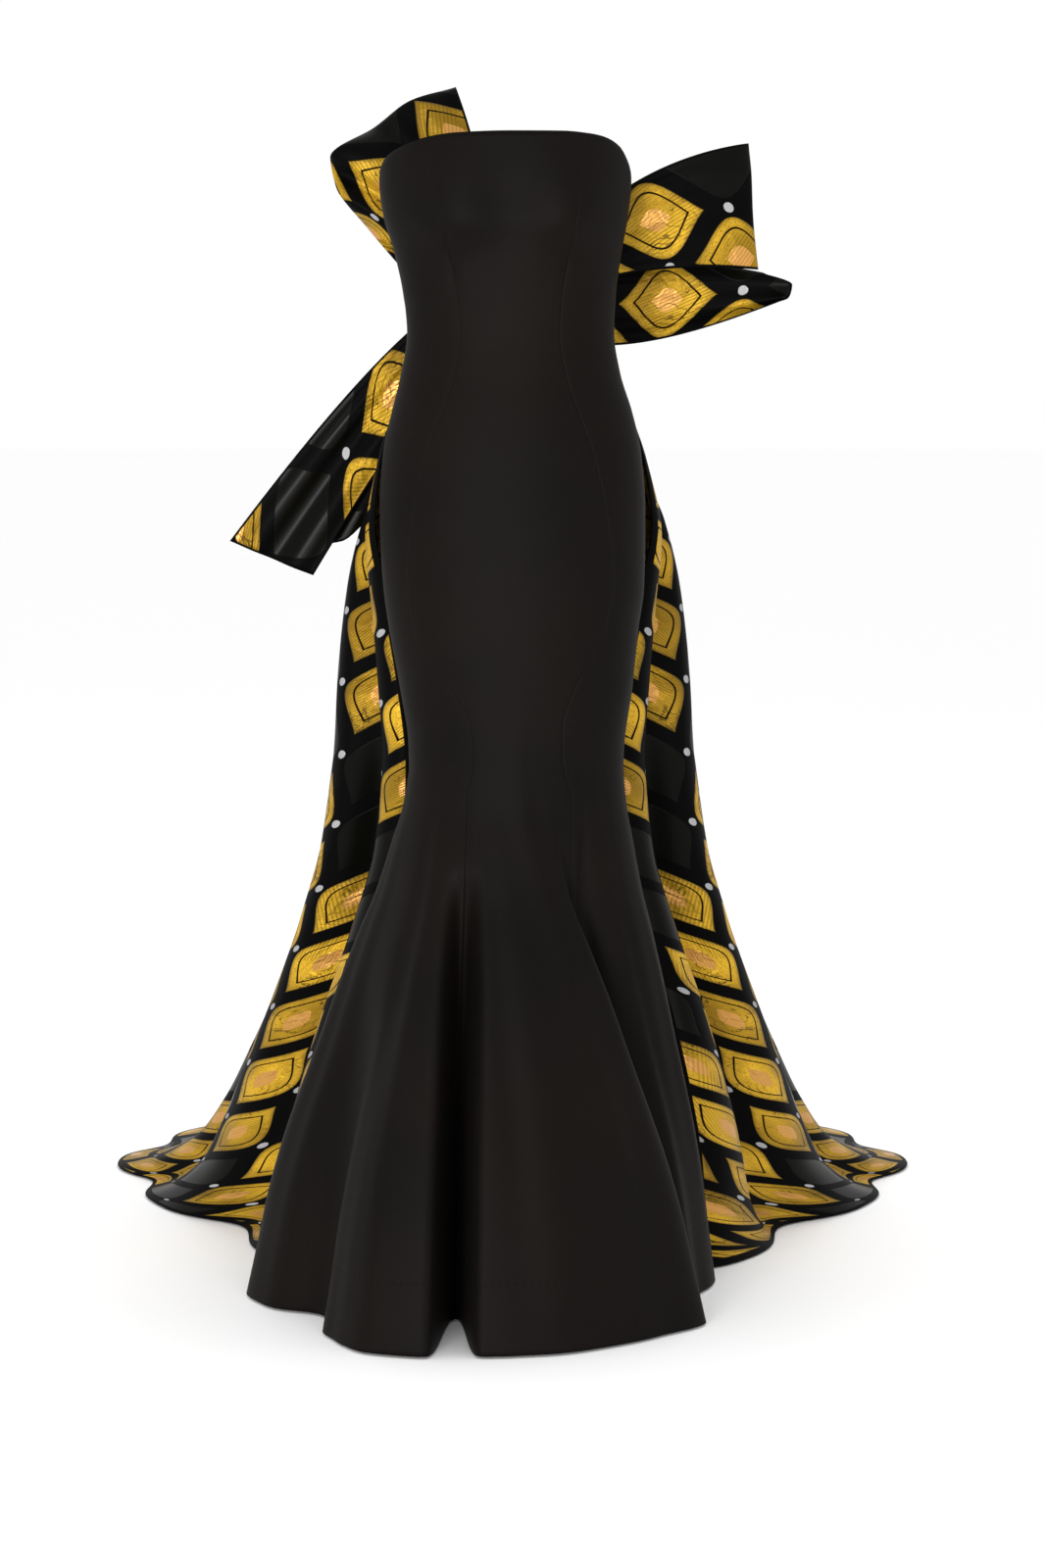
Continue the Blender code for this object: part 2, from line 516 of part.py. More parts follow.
def bow_knot():
    """The band that wraps the gathers: a short oval tube, open to both sides where the loops come out."""
    along = np.linspace(-1, 1, KNOT_POINTS[0])
    turns = np.linspace(0, 2 * np.pi, KNOT_POINTS[1], endpoint=False)
    along, turns = np.meshgrid(along, turns, indexing="ij")
    crease = KNOT_WALL + KNOT_PLEAT_DEPTH * (1 + np.cos(KNOT_PLEATS * np.pi * along))
    mesh = bmesh.new()
    rings = []
    for out in (crease, 0):
        half_y = KNOT_HALF[1] + out
        half_z = KNOT_HALF[2] + out
        x = KNOT_CENTRE[0] + KNOT_HALF[0] * along
        y = KNOT_CENTRE[1] + half_y * np.cos(turns)
        z = KNOT_CENTRE[2] - WAIST_HEIGHT + half_z * np.sin(turns)
        rings.append([[mesh.verts.new(p) for p in row] for row in np.stack([x, y, z], axis=-1)])
    count = KNOT_POINTS[1]
    for i in range(KNOT_POINTS[0] - 1):
        for j in range(count):
            k = (j + 1) % count
            outside, inside = rings
            mesh.faces.new([outside[i][j], outside[i][k], outside[i + 1][k], outside[i + 1][j]])
            mesh.faces.new([inside[i][j], inside[i + 1][j], inside[i + 1][k], inside[i][k]])
    for i in (0, -1):
        for j in range(count):
            k = (j + 1) % count
            mesh.faces.new([rings[0][i][j], rings[0][i][k], rings[1][i][k], rings[1][i][j]])
    bmesh.ops.recalc_face_normals(mesh, faces=mesh.faces)
    made = bpy.data.meshes.new("bow_knot")
    mesh.to_mesh(made)
    mesh.free()
    made.shade_smooth()
    made.materials.append(material(BROCADE_COLOUR))
    cloth.objects.link(bpy.data.objects.new("bow_knot", made))


# The object is built here

for thing in list(bpy.data.objects):
    bpy.data.objects.remove(thing)
cloth = bpy.data.collections.new("strapless_gown")
bpy.context.scene.collection.children.link(cloth)

gown_panels()
train_gores()
for piece_name in GATHERS:
    fan_piece(piece_name)
bow_knot()
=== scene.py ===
"""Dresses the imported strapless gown: black crepe panels, a black and gold brocade train, and its bow."""

import math

import bmesh
import bpy
import numpy as np
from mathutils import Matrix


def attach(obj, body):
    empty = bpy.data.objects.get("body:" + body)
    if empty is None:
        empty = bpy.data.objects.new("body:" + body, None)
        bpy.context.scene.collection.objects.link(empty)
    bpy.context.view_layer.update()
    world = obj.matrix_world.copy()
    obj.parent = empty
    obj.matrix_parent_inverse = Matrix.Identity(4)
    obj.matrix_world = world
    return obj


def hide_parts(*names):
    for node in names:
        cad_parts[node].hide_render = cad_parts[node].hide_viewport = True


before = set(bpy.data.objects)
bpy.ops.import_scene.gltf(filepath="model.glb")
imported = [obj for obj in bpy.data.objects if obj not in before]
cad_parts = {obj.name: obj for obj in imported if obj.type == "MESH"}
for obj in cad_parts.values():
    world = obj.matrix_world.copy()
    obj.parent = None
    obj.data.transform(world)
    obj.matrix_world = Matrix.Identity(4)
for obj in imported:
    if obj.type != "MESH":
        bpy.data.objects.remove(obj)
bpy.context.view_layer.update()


# The studio. White paper lies under the gown. Two large soft lights stand low in front of it, one hangs
# behind it, and the room round it is bright.

WAIST_HEIGHT = 1.12
FLOOR_HALF_WIDTH = 40.0
CAMERA_PLACE = (0.0135, -4.5, 1.1 - WAIST_HEIGHT)
CAMERA_TILT = 6.3
CAMERA_LENS = 90.07
LIGHT_COLUMNS = ("name", "place", "size", "power")
LIGHTS = (
    ("key_light", (-1.3, -5.0, -0.35), 1.5, 200),
    ("fill_light", (0.9, -5.0, -0.35), 1.5, 50),
    ("top_light", (0.3, 1.6, 3.6), 2.4, 30),
)


def linear(hex_colour):
    """A linear colour with alpha from an sRGB hex colour."""
    parts = [int(hex_colour[i:i + 2], 16) / 255 for i in (1, 3, 5)]
    return (*[part / 12.92 if part < 0.04045 else ((part + 0.055) / 1.055) ** 2.4 for part in parts], 1)


def add_node(tree, kind, inputs=(), **settings):
    """A node with its settings. An input takes a value, or another node's socket as a link."""
    made = tree.nodes.new(kind)
    for name, value in settings.items():
        setattr(made, name, value)
    for socket, value in dict(inputs).items():
        if isinstance(value, bpy.types.NodeSocket):
            tree.links.new(value, made.inputs[socket])
        else:
            made.inputs[socket].default_value = value
    return made


def new_material(name):
    """An empty material, its node tree and its output node."""
    made = bpy.data.materials.new(name)
    made.use_nodes = True
    made.node_tree.nodes.clear()
    return made, made.node_tree, made.node_tree.nodes.new("ShaderNodeOutputMaterial")


def paper_floor():
    """White matt paper under the gown."""
    sheet = bmesh.new()
    bmesh.ops.create_grid(sheet, x_segments=1, y_segments=1, size=FLOOR_HALF_WIDTH)
    for vert in sheet.verts:
        vert.co.z = -WAIST_HEIGHT
    mesh = bpy.data.meshes.new("paper_floor")
    sheet.to_mesh(mesh)
    sheet.free()
    paper, tree, output = new_material("white_paper")
    shader = add_node(tree, "ShaderNodeBsdfPrincipled", {"Base Color": linear("#fdfdfd"), "Roughness": 0.9})
    tree.links.new(shader.outputs[0], output.inputs[0])
    mesh.materials.append(paper)
    floor = bpy.data.objects.new("paper_floor", mesh)
    bpy.context.scene.collection.objects.link(floor)


def soft_light(name, place, size, power):
    """A large square light that faces the gown's middle."""
    lamp = bpy.data.lights.new(name, "AREA")
    lamp.size = size
    lamp.energy = power
    light = bpy.data.objects.new(name, lamp)
    light.location = place
    way = -light.location
    light.rotation_euler = way.to_track_quat("-Z", "Y").to_euler()
    bpy.context.scene.collection.objects.link(light)


paper_floor()
for light_row in LIGHTS:
    soft_light(*light_row)
room = bpy.data.worlds.new("room")
room.use_nodes = True
room.node_tree.nodes["Background"].inputs["Color"].default_value = linear("#ffffff")
room.node_tree.nodes["Background"].inputs["Strength"].default_value = 1.0
bpy.context.scene.world = room
bpy.context.scene.view_settings.view_transform = "Standard"

lens = bpy.data.cameras.new("camera")
lens.lens = CAMERA_LENS
lens.sensor_width = 36
camera = bpy.data.objects.new("camera", lens)
camera.location = CAMERA_PLACE
camera.rotation_euler = (math.radians(90 - CAMERA_TILT), 0, 0)
bpy.context.scene.collection.objects.link(camera)
bpy.context.scene.camera = camera


# The gown. Seven panels of black double crepe are sewn with curved princess seams, fitted to the knee and cut
# to flare below it. Boning holds the bodice and its cups. Heights are above the floor, and angles are in
# degrees from the centre front.

CREPE = 0.0018
HEM_DEPTH = 0.080
STITCH_SPACING = 0.009
SEAM_GAP = 0.00005
HEM_CLEARANCE = 0.003
GOWN_ROWS = 200

SECTION_COLUMNS = ("height", "left", "right", "front", "back")
SECTIONS = (
    (1.350, 0.146, 0.136, 0.100, 0.096),
    (1.290, 0.149, 0.137, 0.104, 0.100),
    (1.255, 0.145, 0.134, 0.104, 0.101),
    (1.210, 0.132, 0.126, 0.096, 0.097),
    (1.165, 0.1225, 0.120, 0.089, 0.089),
    (1.120, 0.118, 0.118, 0.084, 0.080),
    (1.075, 0.125, 0.125, 0.088, 0.086),
    (1.030, 0.136, 0.139, 0.096, 0.100),
    (0.985, 0.146, 0.149, 0.102, 0.114),
    (0.920, 0.150, 0.154, 0.107, 0.124),
    (0.875, 0.149, 0.154, 0.108, 0.124),
    (0.830, 0.146, 0.153, 0.107, 0.118),
    (0.785, 0.140, 0.147, 0.105, 0.110),
    (0.715, 0.1275, 0.140, 0.100, 0.100),
    (0.650, 0.118, 0.131, 0.095, 0.093),
    (0.600, 0.117, 0.129, 0.093, 0.092),
)
KNEE_HEIGHT = 0.62
CUP_DEPTH = 0.019
CUP_HEIGHT = 1.248
CUP_FROM_CENTRE = 0.068
CUP_WIDTH = 0.046
CUP_DROP = 0.036
CUP_RISE = 0.075
NECKLINE_COLUMNS = ("angle", "height")
NECKLINE = (
    (-180, 1.243), (-130, 1.254), (-90, 1.296), (-75, 1.313), (-63, 1.323), (-50, 1.331), (-39, 1.337),
    (-25, 1.341), (0, 1.343), (25, 1.343), (40, 1.341), (50, 1.338), (63, 1.329), (75, 1.313), (90, 1.293),
    (130, 1.254), (180, 1.243),
)
NECKLINE_TOP = 1.343
NECKLINE_STARTS = 1.16
SEAM_HEIGHTS = (1.350, 1.250, 1.120, 0.950, 0.840, 0.780, 0.720, 0.680, 0.640, 0.600)
SEAM_COLUMNS = ("neck", "bust", "waist", "hip", "thigh", "low_thigh", "above_knee", "knee", "below_knee",
                "flare", "hem")
SEAMS = {
    "back_left": (-180, -180, -180, -180, -180, -180, -180, -180, -180, -180, -180),
    "side_back_left": (-140, -140, -142, -138, -138, -138, -138, -139, -140, -140, -146),
    "side_left": (-92, -92, -90, -90, -90, -90, -90, -90, -90, -90, -94),
    "princess_left": (-37, -34, -28, -44, -53, -51, -32, -22, -21, -25, -5.5),
    "princess_right": (37, 34, 28, 42, 50, 46, 31, 26, 27, 31, 75),
    "side_right": (92, 92, 90, 90, 90, 90, 90, 90, 90, 90, 108),
    "side_back_right": (140, 140, 142, 138, 138, 138, 138, 139, 140, 140, 146),
    "back_right": (180, 180, 180, 180, 180, 180, 180, 180, 180, 180, 180),
}
HEM_CENTRE = np.array([-0.035, 0.0])
HEM_COLUMNS = ("angle", "reach")
HEM = (
    (-180, 0.305), (-160, 0.300), (-145, 0.270), (-122, 0.232), (-106, 0.258), (-92, 0.276),
    (-78, 0.258), (-64, 0.238), (-40, 0.264), (-32, 0.285), (-24, 0.301), (-12, 0.300), (-5, 0.294),
    (3, 0.292), (17, 0.292), (32, 0.286), (46, 0.284), (60.5, 0.295), (70, 0.263), (80, 0.250),
    (90, 0.256), (97, 0.272), (108, 0.290), (124, 0.262), (138, 0.258), (155, 0.290), (180, 0.305),
)
FLARE_COLUMNS = ("height", "share")
FLARE = (
    (0.620, 0.000), (0.580, 0.035), (0.540, 0.100), (0.480, 0.200), (0.430, 0.310), (0.370, 0.430),
    (0.305, 0.550), (0.240, 0.675), (0.190, 0.765), (0.125, 0.860), (0.070, 0.920), (0.000, 1.000),
)
FOLD_COLUMNS = ("angle", "heading", "depth", "half_width", "starts")
FOLDS = (
    (-25, 0, 0.170, 0.0160, 0.520),
    (-62, 62, 0.030, 0.0450, 0.400),
    (31, -84, 0.105, 0.0260, 0.590),
    (-122, 118, 0.060, 0.0260, 0.480),
    (122, -118, 0.060, 0.0260, 0.480),
    (-163, 163, 0.085, 0.0230, 0.520),
    (163, -163, 0.085, 0.0230, 0.520),
)
FOLD_WALL = 2.6
SEAM_DIP = 0.00005
SEAM_DIP_WIDTH = 0.0030
# Soft troughs, and ridges where the depth is negative. The half width is in degrees round the gown.
CREASE_COLUMNS = ("angle", "height", "half_width", "half_length", "depth")
CREASES = (
    (-31, 1.200, 3, 0.030, 0.0022),
    (30, 1.203, 3, 0.028, 0.0020),
    (0, 1.255, 16, 0.055, 0.0030),
    (-72, 1.150, 15, 0.008, 0.0011),
    (64, 1.140, 18, 0.009, 0.0012),
    (-60, 1.085, 20, 0.010, 0.0010),
    (-48, 0.700, 16, 0.012, 0.0014),
    (58, 0.735, 20, 0.011, 0.0013),
    (-140, 0.720, 22, 0.013, 0.0014),
    (135, 0.690, 20, 0.012, 0.0013),
    (2, 0.560, 6, 0.110, -0.0022),
    (-45, 0.380, 4, 0.170, 0.0040),
    (-14, 0.260, 3.2, 0.200, 0.0044),
    (6, 0.280, 4.5, 0.210, -0.0046),
    (19, 0.240, 3.4, 0.190, 0.0050),
    (52, 0.340, 5, 0.180, 0.0042),
    (74, 0.250, 5, 0.190, -0.0040),
    (-80, 0.270, 5, 0.190, 0.0040),
    (-100, 0.300, 5.5, 0.180, -0.0038),
    (102, 0.300, 5, 0.180, 0.0040),
    (-145, 0.280, 5, 0.180, 0.0042),
    (145, 0.300, 5, 0.180, 0.0040),
    (38, 0.300, 2.6, 0.210, 0.0085),
    (34.5, 0.330, 1.5, 0.200, -0.0035),
    (-179, 0.320, 4, 0.170, 0.0036),
    (179, 0.320, 4, 0.170, 0.0036),
)


def column(table, names, name):
    """One named column of a table, as an array."""
    return np.array([row[names.index(name)] for row in table], float)


def smooth(at, places, values):
    """A curve through the values with no overshoot, read at the given places."""
    at = np.clip(np.asarray(at, float), min(places[0], places[-1]), max(places[0], places[-1]))
    if places[0] > places[-1]:
        places, values = places[::-1], values[::-1]
    step = np.diff(places)
    slope = np.diff(values) / step
    tangent = np.zeros(len(places))
    tangent[0], tangent[-1] = slope[0], slope[-1]
    same_way = slope[:-1] * slope[1:] > 0
    mean = 2 * slope[:-1] * slope[1:] / np.where(same_way, slope[:-1] + slope[1:], 1)
    tangent[1:-1] = np.where(same_way, mean, 0)
    left = np.clip(np.searchsorted(places, at, side="right") - 1, 0, len(step) - 1)
    part = (at - places[left]) / step[left]
    rise = part * part * (3 - 2 * part)
    start_pull = part * (1 - part) ** 2 * step[left] * tangent[left]
    end_pull = part * part * (1 - part) * step[left] * tangent[left + 1]
    return values[left] * (1 - rise) + values[left + 1] * rise + start_pull - end_pull


def unit(vectors):
    """The same vectors, one long."""
    return vectors / np.maximum(np.linalg.norm(vectors, axis=-1, keepdims=True), 1e-9)


def fitted_ring(angle, height):
    """A point of the fitted part's section: x and y."""
    turn = np.radians(angle)
    reach = {name: smooth(height, column(SECTIONS, SECTION_COLUMNS, "height"),
                          column(SECTIONS, SECTION_COLUMNS, name)) for name in SECTION_COLUMNS[1:]}
    across, ahead = np.sin(turn), np.cos(turn)
    x = across * np.where(across > 0, reach["right"], reach["left"])
    y = -ahead * np.where(ahead > 0, reach["front"], reach["back"])
    drop = np.where(height < CUP_HEIGHT, CUP_DROP, CUP_RISE)
    cups = sum(np.exp(-((x - side * CUP_FROM_CENTRE) / CUP_WIDTH) ** 2) for side in (-1, 1))
    y = y - CUP_DEPTH * cups * np.exp(-((height - CUP_HEIGHT) / drop) ** 2) * np.clip(ahead, 0, 1) ** 0.5
    return np.stack([x, y], axis=-1)


def unfolded_skirt(angle, height):
    """The skirt's section before its folds: the fitted ring, let out towards the hem's outline."""
    ring = fitted_ring(angle, np.maximum(height, KNEE_HEIGHT))
    knee = np.array([row[SEAM_COLUMNS.index("flare")] for row in SEAMS.values()], float)
    hem = np.array([row[SEAM_COLUMNS.index("hem")] for row in SEAMS.values()], float)
    turn = np.radians(smooth(angle, knee, hem))
    reach = smooth(np.degrees(turn), column(HEM, HEM_COLUMNS, "angle"), column(HEM, HEM_COLUMNS, "reach"))
    hem = HEM_CENTRE + reach[..., None] * np.stack([np.sin(turn), -np.cos(turn)], axis=-1)
    share = smooth(height, column(FLARE, FLARE_COLUMNS, "height"), column(FLARE, FLARE_COLUMNS, "share"))
    share = np.where(height < KNEE_HEIGHT, share, 0)
    return ring + share[..., None] * (hem - fitted_ring(angle, np.full_like(height, KNEE_HEIGHT)))


def gown_point(angle, height):
    """A point of the gown's outer face."""
    base = unfolded_skirt(angle, height)
    plan = base.copy()
    for fold_angle, heading, depth, half_width, starts in FOLDS:
        crease = unfolded_skirt(np.full_like(height, fold_angle), height)
        away = np.linalg.norm(base - crease, axis=-1)
        grown = np.clip(1 - (height / starts) ** 2, 0, 1) ** 1.2
        pull = depth * grown * np.exp(-((away / half_width) ** FOLD_WALL))
        way_in = np.array([math.sin(math.radians(heading)), math.cos(math.radians(heading))])
        plan = plan + pull[..., None] * way_in
    return np.concatenate([plan, (height - WAIST_HEIGHT)[..., None]], axis=-1)


def seam_angle(name, height):
    """The angle of a seam at each height."""
    return smooth(height, np.array(SEAM_HEIGHTS), np.array(SEAMS[name][:len(SEAM_HEIGHTS)], float))


def trimmed(angle, height):
    """The height again, lowered near the top so that the last row follows the neckline."""
    angles, heights = (column(NECKLINE, NECKLINE_COLUMNS, name) for name in NECKLINE_COLUMNS)
    top = smooth(angle, angles, heights)
    share = np.clip((height - NECKLINE_STARTS) / (NECKLINE_TOP - NECKLINE_STARTS), 0, 1)
    return np.where(share > 0, NECKLINE_STARTS + share * (top - NECKLINE_STARTS), height)


def crease_depth(angle, height):
    """How far the cloth is pressed in by its soft troughs and ridges."""
    pressed = np.zeros_like(height)
    for at_angle, at_height, half_width, half_length, depth in CREASES:
        away = ((angle - at_angle) / half_width) ** 2 + ((height - at_height) / half_length) ** 2
        pressed += depth * np.exp(-away)
    return pressed


def cloth_piece(name, points, cloth_map, facts, thickness, offset, finish):
    """A cloth piece: a flat grid is moved to the given points, then given its thickness."""
    rows, columns = points.shape[0] - 1, points.shape[1] - 1
    sheet = bmesh.new()
    bmesh.ops.create_grid(sheet, x_segments=columns, y_segments=rows, size=0.5)
    flat = np.array([vert.co for vert in sheet.verts])
    i = np.rint((flat[:, 1] + 0.5) * rows).astype(int)
    j = np.rint((flat[:, 0] + 0.5) * columns).astype(int)
    for vert, point in zip(sheet.verts, points[i, j]):
        vert.co = point
    sheet.normal_update()
    mesh = bpy.data.meshes.new(name)
    sheet.to_mesh(mesh)
    sheet.free()
    corner = np.empty(len(mesh.loops), dtype=np.int32)
    mesh.loops.foreach_get("vertex_index", corner)
    cloth = mesh.uv_layers.new(name="cloth")
    cloth.data.foreach_set("uv", cloth_map[i, j][corner].astype(np.float32).ravel())
    for fact, values in facts.items():
        mesh.attributes.new(fact, "FLOAT", "POINT").data.foreach_set("value", values[i, j].astype(np.float32))
    mesh.shade_smooth()
    mesh.materials.append(finish)
    piece = bpy.data.objects.new(name, mesh)
    bpy.context.scene.collection.objects.link(piece)
    wall = piece.modifiers.new("cloth_thickness", "SOLIDIFY")
    wall.thickness = thickness
    wall.offset = offset
    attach(piece, "root")
    return piece


def arc(points, axis):
    """Distance along a grid of points from its first row or column."""
    steps = np.linalg.norm(np.diff(points, axis=axis), axis=-1)
    start = np.zeros_like(np.take(steps, [0], axis=axis))
    return np.concatenate([start, np.cumsum(steps, axis=axis)], axis=axis)


def black_crepe():
    """Double crepe in polyester and wool. Twisted yarns give a fine pebbled grain and a nearly matt face."""
    made, tree, output = new_material("black_double_crepe")
    place = add_node(tree, "ShaderNodeTexCoord").outputs["Object"]
    cloth = add_node(tree, "ShaderNodeUVMap", uv_map="cloth").outputs["UV"]
    # The pebbles are about 0.8 mm, drawn at 1.2 mm so that they show
    pebble = add_node(tree, "ShaderNodeTexNoise", {
        "Vector": cloth, "Scale": 830.0, "Detail": 2.0, "Roughness": 0.6})
    cloud = add_node(tree, "ShaderNodeTexNoise", {
        "Vector": place, "Scale": 5.0, "Detail": 3.0, "Roughness": 0.5})
    shade = add_node(tree, "ShaderNodeValToRGB", {"Fac": cloud.outputs["Fac"]})
    shade.color_ramp.elements[0].position = 0.3
    shade.color_ramp.elements[0].color = linear("#0a0807")
    shade.color_ramp.elements[1].position = 0.7
    shade.color_ramp.elements[1].color = linear("#0f0b09")
    grain = add_node(tree, "ShaderNodeMix", {0: 0.25, 6: shade.outputs["Color"], 7: pebble.outputs["Fac"]},
                     data_type="RGBA", blend_type="OVERLAY")
    # The hem is caught by hand, with a small dimple at each stitch
    parts = add_node(tree, "ShaderNodeSeparateXYZ", {"Vector": place}).outputs
    from_line = add_node(tree, "ShaderNodeMath", {0: parts["Z"], 1: WAIST_HEIGHT - HEM_DEPTH},
                         operation="ADD")
    near = add_node(tree, "ShaderNodeMath", {0: from_line.outputs[0]}, operation="ABSOLUTE")
    line = add_node(tree, "ShaderNodeMapRange", {
        "Value": near.outputs[0], "From Min": 0.0004, "From Max": 0.0022, "To Min": 1.0, "To Max": 0.0})
    run = add_node(tree, "ShaderNodeSeparateXYZ", {"Vector": cloth}).outputs["X"]
    turn = add_node(tree, "ShaderNodeMath", {0: run, 1: 2 * math.pi / STITCH_SPACING}, operation="MULTIPLY")
    dimple = add_node(tree, "ShaderNodeMath", {0: turn.outputs[0]}, operation="SINE")
    dimple = add_node(tree, "ShaderNodeMath", {0: dimple.outputs[0], 1: 0.35, 2: 0.65},
                      operation="MULTIPLY_ADD")
    stitch = add_node(tree, "ShaderNodeMath", {0: line.outputs[0], 1: dimple.outputs[0]},
                      operation="MULTIPLY")
    low = add_node(tree, "ShaderNodeMath", {0: stitch.outputs[0], 1: -0.0006}, operation="MULTIPLY")
    height = add_node(tree, "ShaderNodeMath", {0: pebble.outputs["Fac"], 1: 0.00022, 2: low.outputs[0]},
                      operation="MULTIPLY_ADD")
    bump = add_node(tree, "ShaderNodeBump", {"Height": height.outputs[0], "Strength": 0.8, "Distance": 1.0})
    shader = add_node(tree, "ShaderNodeBsdfPrincipled", {
        "Base Color": grain.outputs[2], "Roughness": 0.60, "IOR": 1.5, "Specular IOR Level": 0.05,
        "Sheen Weight": 0.01, "Sheen Roughness": 0.5, "Sheen Tint": linear("#8f8a84"),
        "Normal": bump.outputs[0]})
    tree.links.new(shader.outputs[0], output.inputs[0])
    return made


crepe = black_crepe()
PANEL_COLUMNS = ("left_seam", "right_seam", "lines", "cut_width", "cut_length", "cut_area")
PANELS = {
    "gown_centre_back_left": ("back_left", "side_back_left", 44, 0.29, 1.29, 0.17),
    "gown_side_back_left": ("side_back_left", "side_left", 34, 0.32, 1.33, 0.19),
    "gown_side_front_left": ("side_left", "princess_left", 64, 0.60, 1.41, 0.30),
    "gown_centre_front": ("princess_left", "princess_right", 100, 0.64, 1.41, 0.36),
    "gown_side_front_right": ("princess_right", "side_right", 56, 0.24, 1.37, 0.185),
    "gown_side_back_right": ("side_right", "side_back_right", 34, 0.25, 1.31, 0.165),
    "gown_centre_back_right": ("side_back_right", "back_right", 44, 0.29, 1.29, 0.175),
}


def gown_panel(name):
    """One panel of the gown from seam to seam, with the seam pressed in along both sides."""
    left, right, lines, *cut = PANELS[name]
    fine = np.linspace(0, 1, 900)
    level = np.full_like(fine, 0.16)
    round_hem = gown_point(seam_angle(left, level) * (1 - fine) + seam_angle(right, level) * fine, level)
    length = arc(round_hem, 0)
    share = np.interp(np.linspace(0, 1, lines + 1), 0.8 * length / length[-1] + 0.2 * fine, fine)
    height = np.linspace(HEM_CLEARANCE, NECKLINE_TOP, GOWN_ROWS + 1)[:, None] + 0 * share
    start, end = seam_angle(left, height), seam_angle(right, height)
    angle = start + (end - start) * share
    height = trimmed(angle, height)
    points = gown_point(angle, height)
    round_it = gown_point(angle + 0.2, height) - gown_point(angle - 0.2, height)
    up_it = gown_point(angle, height + 0.003) - gown_point(angle, height - 0.003)
    outward = unit(np.cross(round_it, up_it))
    run = arc(points, 1)
    to_seam = np.minimum(run, run[:, -1:] - run)
    pressed = SEAM_DIP * np.exp(-(to_seam / SEAM_DIP_WIDTH) ** 2) + crease_depth(angle, height)
    points = points - outward * pressed[..., None]
    points[0, :, 2] = HEM_CLEARANCE - WAIST_HEIGHT
    points[:, 0] += 0.5 * SEAM_GAP * unit(round_it)[:, 0]
    points[:, -1] -= 0.5 * SEAM_GAP * unit(round_it)[:, -1]
    cloth_map = np.stack([run, arc(points, 0)], axis=-1)
    piece = cloth_piece(name + "_cloth", points, cloth_map, {}, CREPE, -1, crepe)
    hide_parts(name)


for panel in PANELS:
    gown_panel(panel)


# The train. Four gores of black and gold brocade are sewn into an open overskirt that hangs from the back
# waist. It stands in round folds and spreads over the floor. Its edges are bound in black, and its pattern
# mirrors at the middle of the back.

BROCADE = 0.0015
ON_PANEL = 0.0010
TRAIN_COLUMNS = ("height", "side_x", "side_y", "back_y", "edge_x", "edge_y", "fold", "free", "right_extra")
TRAIN = (
    (1.116, 0.116, 0.030, 0.084, 0.117, 0.020, 0.0000, 0.00, 0.000),
    (1.078, 0.124, 0.035, 0.092, 0.125, 0.022, 0.0008, 0.00, 0.000),
    (1.030, 0.139, 0.040, 0.108, 0.139, 0.024, 0.0018, 0.15, 0.000),
    (0.975, 0.153, 0.070, 0.142, 0.150, 0.030, 0.0038, 0.60, 0.004),
    (0.900, 0.170, 0.115, 0.178, 0.155, 0.050, 0.0070, 1.00, 0.006),
    (0.810, 0.189, 0.175, 0.230, 0.138, 0.078, 0.0120, 1.00, 0.006),
    (0.710, 0.204, 0.220, 0.288, 0.122, 0.105, 0.0165, 1.00, 0.006),
    (0.610, 0.215, 0.255, 0.342, 0.112, 0.120, 0.0200, 1.00, 0.006),
    (0.510, 0.228, 0.290, 0.405, 0.118, 0.138, 0.0240, 1.00, 0.006),
    (0.410, 0.250, 0.325, 0.485, 0.142, 0.148, 0.0280, 1.00, 0.006),
    (0.310, 0.284, 0.375, 0.580, 0.172, 0.150, 0.0310, 1.00, 0.006),
    (0.215, 0.324, 0.430, 0.690, 0.196, 0.146, 0.0320, 1.00, 0.004),
    (0.130, 0.364, 0.495, 0.810, 0.212, 0.142, 0.0310, 1.00, 0.002),
    (0.065, 0.408, 0.570, 0.930, 0.218, 0.138, 0.0290, 1.00, 0.000),
    (0.022, 0.472, 0.660, 1.050, 0.221, 0.135, 0.0260, 1.00, 0.000),
    (0.002, 0.525, 0.750, 1.150, 0.223, 0.132, 0.0230, 1.00, 0.000),
)
TRAIN_SWEEP = 73
SIDE_BEND = 1.5
TRAIN_FOLD_COLUMNS = ("place", "depth")
TRAIN_FOLDS = ((0.000, 0.80), (0.170, 1.00), (0.340, 0.85), (0.510, 0.60), (0.690, 0.85), (0.945, 1.20))
LAST_FOLD = 5.25
VALLEY_SHARE = 0.20
SECTION_SAMPLES = 400
TRAIN_ROWS = 290
LINES_PER_FOLD = 36
GORE_COLUMNS = ("start", "end", "cut_width", "cut_length", "cut_area")
GORES = {
    "train_side_left": (-LAST_FOLD, -2.5, 0.80, 1.51, 0.45),
    "train_back_left": (-2.5, 0.0, 0.65, 1.63, 0.475),
    "train_back_right": (0.0, 2.5, 0.65, 1.63, 0.475),
    "train_side_right": (2.5, LAST_FOLD, 0.80, 1.51, 0.45),
}


